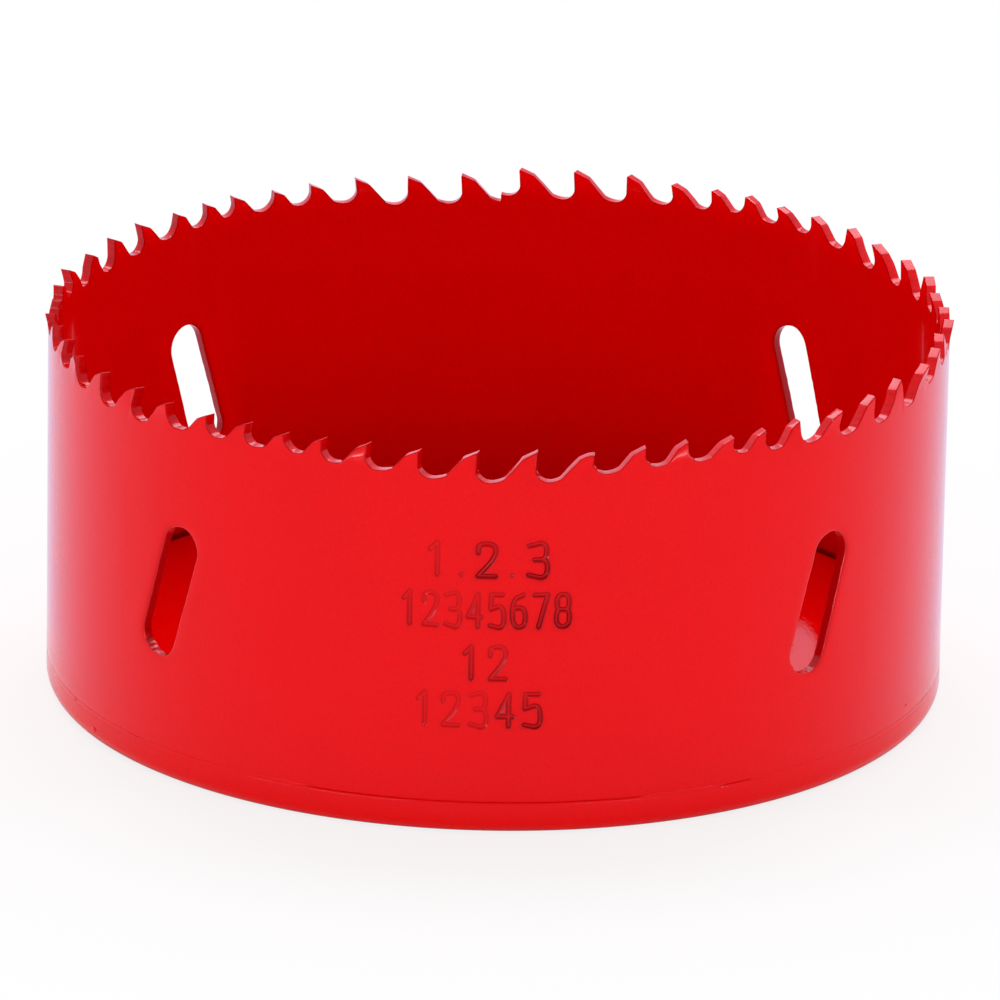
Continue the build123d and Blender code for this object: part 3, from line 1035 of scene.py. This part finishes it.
# One finish: the sprayed coat on the paint's shader, which holds the constants of its gloss itself.
def makeFinish(name, coatTree):
    coatChanges, paintChanges = finishes[name]
    material, tree = newMaterial(name)
    out = newNode(tree, "OutputMaterial")
    paint = newNode(tree, "BsdfPrincipled", {**enamel["paint"], **paintChanges})
    place = newNode(tree, "TexCoord")
    coat = newNode(tree, "Group", {**enamel["coat"], **coatChanges}, node_tree=coatTree)
    link(
        tree,
        (place, "Object", coat, "Place"),
        (coat, "Colour", paint, "Base Color"),
        (coat, "Roughness", paint, "Roughness"),
        (coat, "Gloss", paint, "Coat Weight"),
        (coat, "Normal", paint, "Normal"),
        (paint, "BSDF", out, "Surface"),
    )
    if name == "milledEnamel":
        addMilling(tree, place, coat, paint)
    return material


# Adds the cutter's marks, as bands in the colour and in the surface.
def addMilling(tree, place, coat, paint):
    stretch = newNode(tree, "Mapping", {"Scale": milling["stretch"]})
    lines = newNode(tree, "TexNoise", milling["lines"])
    bands = newNode(tree, "MapRange", milling["bands"])
    marked = newNode(tree, "VectorMath", operation="SCALE")
    bump = newNode(tree, "Bump", milling["bump"])
    link(
        tree,
        (place, "Object", stretch, "Vector"),
        (stretch, "Vector", lines, "Vector"),
        (lines, "Fac", bands, "Value"),
        (coat, "Colour", marked, 0),
        (bands, "Result", marked, "Scale"),
        (marked, "Vector", paint, "Base Color"),
        (lines, "Fac", bump, "Height"),
        (coat, "Normal", bump, "Normal"),
        (bump, "Normal", paint, "Normal"),
    )


sprayedCoat = makeCoat()
made = {name: makeFinish(name, sprayedCoat) for name in finishes}
for piece in (bandPiece, capPiece, seamPiece, nibPiece):
    piece.data.materials.append(made["redEnamel"])
    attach(piece, "root")
for name in ("milledEnamel", "innerEnamel", "slotEnamel"):
    bandPiece.data.materials.append(made[name])
capPiece.data.materials.append(made["topEnamel"])
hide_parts("toothed_band")
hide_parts("backing_cap")
print("enamel on")


# Studio: a pale floor that runs out to white, a white surround, and soft lamps
studio = {
    "floorColour": (0.93, 0.93, 0.93, 1),
    "floorRadius": 4.0,
    "floorColumns": 96,
    # the floor turns to plain white between these radii, from this share of it close to the saw, and as the
    # enamel mirrors it, from none under the saw's foot
    "fade": {"From Min": 0.05, "From Max": 0.14, "To Min": 0.82},
    "mirrorFade": {"From Min": 0.047, "From Max": 0.064},
    "mirrored": (0.82, 0.77, 0.96, 1),     # the white as the enamel mirrors it, slightly cool
    "surround": 0.54,                      # light from the surround
    # the mirrored surround is darker overhead in front and at the back on the right: from the first cosine
    # off this direction to the second it goes down to this share
    "darker": [((0.0, -0.5, 0.866), 0.58, 0.78, 0.2), ((0.42, 0.88, 0.22), 0.93, 0.97, 0.1)],
    "lampColour": (1.0, 0.9, 1.0),
    "aim": (0, 0, 0.02),
    # place, width, height and watts of each soft lamp, and whether the enamel mirrors it
    "lamps": [
        ((-0.80, -0.95, 0.035), 0.9, 0.05, 3.1, True),
        ((0.80, -0.95, 0.035), 0.9, 0.05, 3.1, True),
        ((-1.2, 0.15, 0.035), 0.9, 0.05, 1.5, False),
        ((1.2, 0.15, 0.035), 0.9, 0.05, 1.5, False),
        ((0.0, -1.3, 0.38), 1.6, 0.3, 0.6, False),
        ((0.0, 0.62, 1.18), 1.3, 0.75, 12.0, True),
    ],
}


# The background for the rays that show it: whether a ray comes from the camera, whether it was mirrored or
# refracted, and its colour, which is white to the camera and slightly cooler in the enamel. Each is a node
# and its output.
def backgroundRays(tree):
    path = newNode(tree, "LightPath")
    bounced = newNode(tree, "Math", operation="MAXIMUM")
    colour = newNode(tree, "Mix", {"A": (1, 1, 1, 1), "B": studio["mirrored"]}, data_type="RGBA")
    link(
        tree,
        (path, "Is Glossy Ray", bounced, 0),
        (path, "Is Transmission Ray", bounced, 1),
        (bounced, "Value", colour, "Factor"),
    )
    return (path, "Is Camera Ray"), (bounced, "Value"), (colour, "Result")


# A round floor, matt to every ray but those that show the background. For those it fades to white outwards.
def makeFloor():
    turn = np.linspace(0, 2 * np.pi, studio["floorColumns"], endpoint=False)
    rim = np.stack([np.cos(turn), np.sin(turn), 0 * turn], -1) * studio["floorRadius"]
    mesh = bpy.data.meshes.new("floor")
    mesh.from_pydata(rim.tolist(), [], [list(range(len(rim)))])
    floor = newObject(mesh)
    material, tree = newMaterial("paleFloor")
    out = newNode(tree, "OutputMaterial")
    matt = newNode(tree, "BsdfDiffuse", {"Color": studio["floorColour"]})
    white = newNode(tree, "Emission")
    place = newNode(tree, "TexCoord")
    distance = newNode(tree, "VectorMath", operation="LENGTH")
    cameraRay, bouncedRay, colour = backgroundRays(tree)
    shares = []
    for ray, fade in ((cameraRay, "fade"), (bouncedRay, "mirrorFade")):
        away = newNode(tree, "MapRange", studio[fade], interpolation_type="SMOOTHSTEP")
        share = newNode(tree, "Math", operation="MULTIPLY")
        link(tree, (distance, "Value", away, "Value"), (away, "Result", share, 0), (*ray, share, 1))
        shares.append(share)
    total = newNode(tree, "Math")
    mix = newNode(tree, "MixShader")
    link(
        tree,
        (*colour, white, "Color"),
        (place, "Object", distance, 0),
        *((share, "Value", total, entry) for entry, share in enumerate(shares)),
        (total, "Value", mix, "Fac"),
        (matt, "BSDF", mix, 1),
        (white, "Emission", mix, 2),
        (mix, "Shader", out, "Surface"),
    )
    mesh.materials.append(material)


# The same background all round, darker in two directions where the enamel mirrors it, and the plain light
# that it gives to everything else.
def makeSurround():
    world = bpy.data.worlds.new("surround")
    bpy.context.scene.world = world
    world.use_nodes = True
    tree = world.node_tree
    tree.nodes.clear()
    out = newNode(tree, "OutputWorld")
    light = newNode(tree, "Background")
    level = newNode(tree, "MapRange", {"To Min": studio["surround"]})
    cameraRay, shown, colour = backgroundRays(tree)
    share = newNode(tree, "Math")
    direction = newNode(tree, "TexCoord")
    for toward, low, high, least in studio["darker"]:
        facing = newNode(tree, "VectorMath", {1: toward}, operation="DOT_PRODUCT")
        limits = {"From Min": low, "From Max": high, "To Min": 1, "To Max": least}
        dimming = newNode(tree, "MapRange", limits, interpolation_type="SMOOTHSTEP")
        left = newNode(tree, "Math", operation="MULTIPLY")
        link(
            tree,
            (direction, "Generated", facing, 0),
            (facing, "Value", dimming, "Value"),
            (dimming, "Result", left, 0),
            (*shown, left, 1),
        )
        shown = (left, "Value")
    link(
        tree,
        (*cameraRay, share, 0),
        (*shown, share, 1),
        (share, "Value", level, "Value"),
        (*colour, light, "Color"),
        (level, "Result", light, "Strength"),
        (light, "Background", out, "Surface"),
    )


# Soft rectangular lamps, each turned to face the saw.
def makeLamps():
    for number, (place, width, height, watts, mirrored) in enumerate(studio["lamps"]):
        data = bpy.data.lights.new(f"softLamp{number}", "AREA")
        data.shape = "RECTANGLE"
        data.size, data.size_y = width, height
        data.energy = watts
        data.color = studio["lampColour"]
        lamp = newObject(data)
        lamp.location = place
        lamp.visible_camera = False
        lamp.visible_glossy = mirrored
        lamp.rotation_euler = (Vector(studio["aim"]) - lamp.location).to_track_quat("-Z", "Y").to_euler()


# The camera looks down at the saw from the front. Turns are applied in this order: pitch, yaw, roll.
view = {
    "place": (0, -1.20021, 0.43674),
    "pitch": np.radians(19.095),
    "yaw": np.radians(0.0206),
    "roll": np.radians(1.0369),
    "lens": 406.156,
    "sensor": 36,
    "farthest": 50,
}


# Starts from the directions of a level camera, and turns two of them towards each other for each angle.
def makeCamera():
    data = bpy.data.cameras.new("camera")
    data.sensor_fit = "HORIZONTAL"
    data.sensor_width = view["sensor"]
    data.lens = view["lens"]
    data.clip_end = view["farthest"]
    camera = newObject(data)
    right, forward, up = np.eye(3)

    def turned(first, second, angle):
        cos, sin = np.cos(angle), np.sin(angle)
        return cos * first + sin * second, cos * second - sin * first

    up, forward = turned(up, forward, view["pitch"])
    forward, right = turned(forward, right, view["yaw"])
    right, up = turned(right, up, view["roll"])
    turn = Matrix(np.stack([right, up, -forward], 1).tolist()).to_4x4()
    camera.matrix_world = Matrix.Translation(view["place"]) @ turn
    bpy.context.scene.camera = camera


makeFloor()
makeSurround()
makeLamps()
makeCamera()
bpy.context.scene.view_settings.view_transform = "Standard"
print("studio lit")
